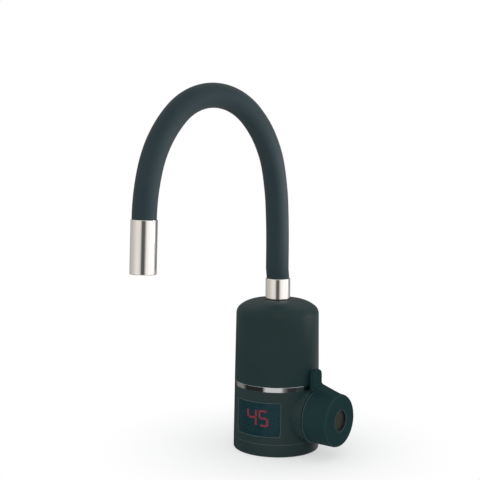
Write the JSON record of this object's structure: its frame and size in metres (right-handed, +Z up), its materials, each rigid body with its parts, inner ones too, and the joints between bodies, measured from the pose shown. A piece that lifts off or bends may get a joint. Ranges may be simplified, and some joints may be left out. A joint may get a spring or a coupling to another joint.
{
  "type": "electric instant water heater tap",
  "caption": "Black instant-heating kitchen tap: cylindrical heater body with digit display, side thumb-lever valve and a bendable swivelling gooseneck hose spout with steel ends.",
  "frame": {"origin": "centre of the water inlet's mouth, in the plane of the base's underside", "axes": "+Z up the body's axis, -Y to the front with the display, +X to the handle; the spout arches over the front, turned 13.6 degrees to -X"},
  "size_m": [0.0958, 0.1683, 0.273],
  "materials": {
    "black_plastic": "satin moulded black",
    "window_smoke": "smoked glossy window",
    "led_red": "lit red bars",
    "led_off": "unlit bars",
    "led_case": "matt black module case",
    "board_green": "solder-masked board",
    "chrome": "bright plated",
    "stainless": "polished stainless tube",
    "silicone": "smooth matt silicone",
    "hose_lining": "bendable inner hose",
    "brass": "machined brass",
    "ceramic": "lapped ceramic",
    "seal_rubber": "black nitrile",
    "steel": "zinc-plated and stainless steel",
    "engineering_plastic": "glass-filled nylon",
    "switch_plastic": "phenolic",
    "cap_metal": "satin metal disc"
  },
  "bodies": {
    "tap_body": {"base_gasket": "seal_rubber", "base_plate": "black_plastic", "base_screws": "steel", "cable_gland": "black_plastic", "cartridge_body": "engineering_plastic", "cartridge_nut": "engineering_plastic", "cartridge_seal": "seal_rubber", "ceramic_disc_fixed": "ceramic", "diaphragm": "seal_rubber", "display_board": "board_green", "display_screws": "steel", "display_window": "window_smoke", "element_nuts": "steel", "flow_switch_cap": "engineering_plastic", "flow_switch_screws": "steel", "heater_chamber": "engineering_plastic", "heater_lid": "engineering_plastic", "heater_seal": "seal_rubber", "heating_element": "steel", "housing_screws": "steel", "inlet_connector": "brass", "inlet_seal": "seal_rubber", "inlet_strainer": "steel", "led_module": "led_case", "led_segments_lit": "led_red", "led_segments_unlit": "led_off", "lid_screws": "steel", "lower_housing": "black_plastic", "microswitch": "switch_plastic", "return_spring": "steel", "spindle_o_ring": "seal_rubber", "spout_nut": "engineering_plastic", "temperature_sensor": "steel", "terminal_block": "switch_plastic", "thermal_cutout": "switch_plastic", "transfer_tube": "engineering_plastic", "trim_ring": "chrome", "upper_housing": "black_plastic", "valve_body": "brass"},
    "handle": {"handle": "black_plastic", "handle_cap": "cap_metal", "handle_screw": "steel", "valve_spindle": "brass", "ceramic_disc_moving": "ceramic"},
    "flow_pin": {"pressure_plate": "engineering_plastic"},
    "switch_button": {"microswitch_button": "switch_plastic"},
    "spout": {"spout_stem": "brass", "stem_o_rings": "seal_rubber", "spout_clip": "steel", "spout_ferrule": "stainless", "hose_sleeve_riser": "silicone", "hose_sleeve_crown": "silicone", "hose_core_riser": "hose_lining", "hose_core_crown": "hose_lining"},
    "spout_outlet": {"hose_sleeve_drop": "silicone", "hose_core_drop": "hose_lining", "outlet_sleeve": "stainless", "outlet_adaptor": "brass", "aerator": "engineering_plastic"}
  },
  "joints": [
    {"name": "spout_swivel", "type": "hinge", "parent": "tap_body", "child": "spout", "pos_m": [0, 0, 0.1], "axis": [0, 0, 1], "continuous": true},
    {"name": "hose_bend", "type": "hinge", "parent": "spout", "child": "spout_outlet", "pos_m": [-0.01418, -0.05863, 0.26438], "axis": [-0.972, 0.2351, 0], "range_deg": [-20, 40], "deforming": ["hose_sleeve_crown", "hose_core_crown"]},
    {"name": "handle_turn", "type": "hinge", "parent": "tap_body", "child": "handle", "pos_m": [0.037, 0, 0.029], "axis": [1, 0, 0], "range_deg": [-60, 60]},
    {"name": "flow_pin_slide", "type": "slide", "parent": "tap_body", "child": "flow_pin", "axis": [-1, 0, 0], "range_m": [0, 0.0012], "stiffness_N_per_m": 600, "springref_m": -0.001, "deforming": ["diaphragm", "return_spring"]},
    {"name": "switch_button_slide", "type": "slide", "parent": "tap_body", "child": "switch_button", "axis": [-1, 0, 0], "range_m": [0, 0.0018]}
  ],
  "couplings": [
    {"joint": "switch_button_slide", "follows": "flow_pin_slide", "ratio": 1}
  ]
}
